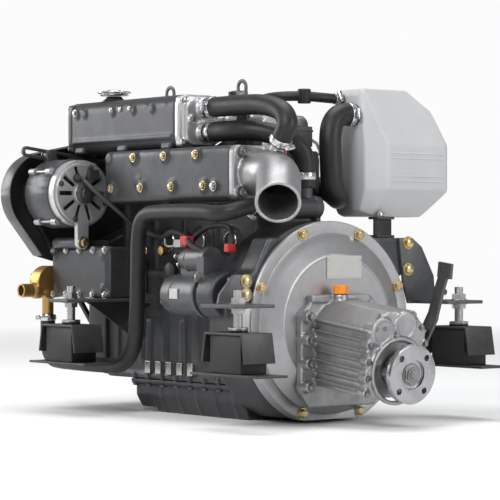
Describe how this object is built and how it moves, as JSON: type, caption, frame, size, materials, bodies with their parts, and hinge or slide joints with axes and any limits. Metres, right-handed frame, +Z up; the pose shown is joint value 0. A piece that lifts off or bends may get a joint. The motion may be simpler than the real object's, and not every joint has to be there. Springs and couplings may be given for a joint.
{
  "type": "marine diesel engine",
  "caption": "Inline marine diesel engine with heat exchanger, wet exhaust elbow, reduction gearbox and output coupling, on flexible feet.",
  "frame": {"origin": "centre of the output coupling's aft face", "axes": "+X aft along the engine, +Y to starboard, +Z up; the coupling's axis slopes down aft by the shaft angle"},
  "size_m": [0.8866, 0.588, 0.603],
  "materials": {
    "cast_grey": "metallic grey paint over castings",
    "bright_alloy": "cast and silver painted",
    "bright_steel": "bright plated",
    "dark_steel": "dark finished steel",
    "pulley_paint": "satin grey paint",
    "polished_alloy": "machined",
    "zinc_gold": "yellow zinc plated",
    "plate_alloy": "bare etched plate",
    "orange_plastic": "moulded orange",
    "brass": "cast bronze, slightly tarnished",
    "hose_rubber": "smooth black rubber",
    "foot_rubber": "moulded black rubber",
    "black_paint": "satin black paint",
    "black_plastic": "moulded black",
    "silencer_paint": "light silver paint",
    "starter_paint": "grey paint",
    "filter_paint": "white paint"
  },
  "bodies": {
    "engine": {"cylinder_block": "cast_grey", "cylinder_head": "cast_grey", "rocker_cover": "bright_alloy", "oil_pan": "cast_grey", "gear_case": "cast_grey", "pump_drive_housing": "cast_grey", "pistons": "polished_alloy", "flywheel_housing": "cast_grey", "clutch_bell": "bright_alloy", "zinc_bolts": "zinc_gold", "nameplate": "plate_alloy", "gearbox_case": "bright_alloy", "exhaust_manifold": "cast_grey", "exhaust_elbow": "bright_alloy", "heat_exchanger": "cast_grey", "exchanger_covers": "bright_alloy", "lifting_eyes": "dark_steel", "raw_water_pump": "brass", "raw_water_hose": "hose_rubber", "lower_cooler_hose": "hose_rubber", "upper_cooler_hose": "hose_rubber", "gear_oil_cooler": "starter_paint", "hose_clips": "bright_steel", "alternator_body": "bright_alloy", "alternator_rear_bracket": "polished_alloy", "alternator_mounting": "cast_grey", "belt_guard": "pulley_paint", "drive_belt": "hose_rubber", "coolant_pump": "cast_grey", "starter_motor": "starter_paint", "dipstick_tube": "bright_steel", "relay_box": "black_plastic", "intake_silencer": "silencer_paint", "silencer_bracket": "dark_steel", "intake_duct": "hose_rubber", "intake_manifold": "bright_alloy", "breather_hose": "hose_rubber", "injection_pump": "starter_paint", "injector_lines": "bright_steel", "service_filters": "filter_paint", "foot_brackets": "dark_steel", "foot_bases": "black_paint", "foot_rubbers": "foot_rubber", "foot_covers": "black_paint", "foot_studs": "bright_steel"},
    "crank_train": {"crankshaft": "dark_steel", "crank_pulley": "pulley_paint", "flywheel": "dark_steel", "gearbox_input_shaft": "dark_steel"},
    "coolant_pump_train": {"coolant_pump_pulley": "pulley_paint"},
    "alternator_train": {"alternator_rotor": "dark_steel"},
    "output_train": {"output_coupling": "bright_steel", "output_shaft": "dark_steel"},
    "shift_arm": {"shift_lever": "dark_steel"},
    "throttle_arm": {"throttle_lever": "zinc_gold"},
    "stop_arm": {"stop_lever": "zinc_gold"},
    "pressure_cap": {"coolant_cap": "bright_steel"},
    "oil_cap": {"oil_filler_cap": "black_plastic"},
    "gear_oil_cap": {"gearbox_filler_cap": "orange_plastic"},
    "oil_dipstick": {"dipstick": "bright_steel"}
  },
  "joints": [
    {"name": "crank_spin", "type": "hinge", "parent": "engine", "child": "crank_train", "pos_m": [0, 0, 0.08], "axis": [1, 0, 0], "continuous": true},
    {"name": "coolant_pump_spin", "type": "hinge", "parent": "engine", "child": "coolant_pump_train", "pos_m": [0, 0, 0.35], "axis": [1, 0, 0], "continuous": true},
    {"name": "alternator_spin", "type": "hinge", "parent": "engine", "child": "alternator_train", "pos_m": [0, -0.19, 0.312], "axis": [1, 0, 0], "continuous": true},
    {"name": "output_spin", "type": "hinge", "parent": "engine", "child": "output_train", "pos_m": [0, 0, 0], "axis": [0.9925, 0, -0.1219], "continuous": true},
    {"name": "shift_swing", "type": "hinge", "parent": "engine", "child": "shift_arm", "pos_m": [-0.05915, 0.069, 0.05159], "axis": [0, 1, 0], "range_deg": [-30, 30]},
    {"name": "throttle_swing", "type": "hinge", "parent": "engine", "child": "throttle_arm", "pos_m": [-0.593, 0.149, 0.206], "axis": [0, 1, 0], "range_deg": [0, 40], "stiffness_Nm_per_rad": 0.5, "springref_deg": -11.46},
    {"name": "stop_swing", "type": "hinge", "parent": "engine", "child": "stop_arm", "pos_m": [-0.633, 0.149, 0.18], "axis": [0, 1, 0], "range_deg": [0, 35], "stiffness_Nm_per_rad": 0.5, "springref_deg": -11.46},
    {"name": "pressure_cap_lift", "type": "slide", "parent": "engine", "child": "pressure_cap", "axis": [0, 0, 1], "range_m": [0, 0.04]},
    {"name": "oil_cap_lift", "type": "slide", "parent": "engine", "child": "oil_cap", "axis": [0, 0, 1], "range_m": [0, 0.03]},
    {"name": "gear_oil_cap_lift", "type": "slide", "parent": "engine", "child": "gear_oil_cap", "axis": [0, 0, 1], "range_m": [0, 0.05]},
    {"name": "dipstick_lift", "type": "slide", "parent": "engine", "child": "oil_dipstick", "axis": [0, 0, 1], "range_m": [0, 0.07]}
  ],
  "couplings": [
    {"joint": "coolant_pump_spin", "follows": "crank_spin", "ratio": 1.2},
    {"joint": "alternator_spin", "follows": "crank_spin", "ratio": 2}
  ]
}
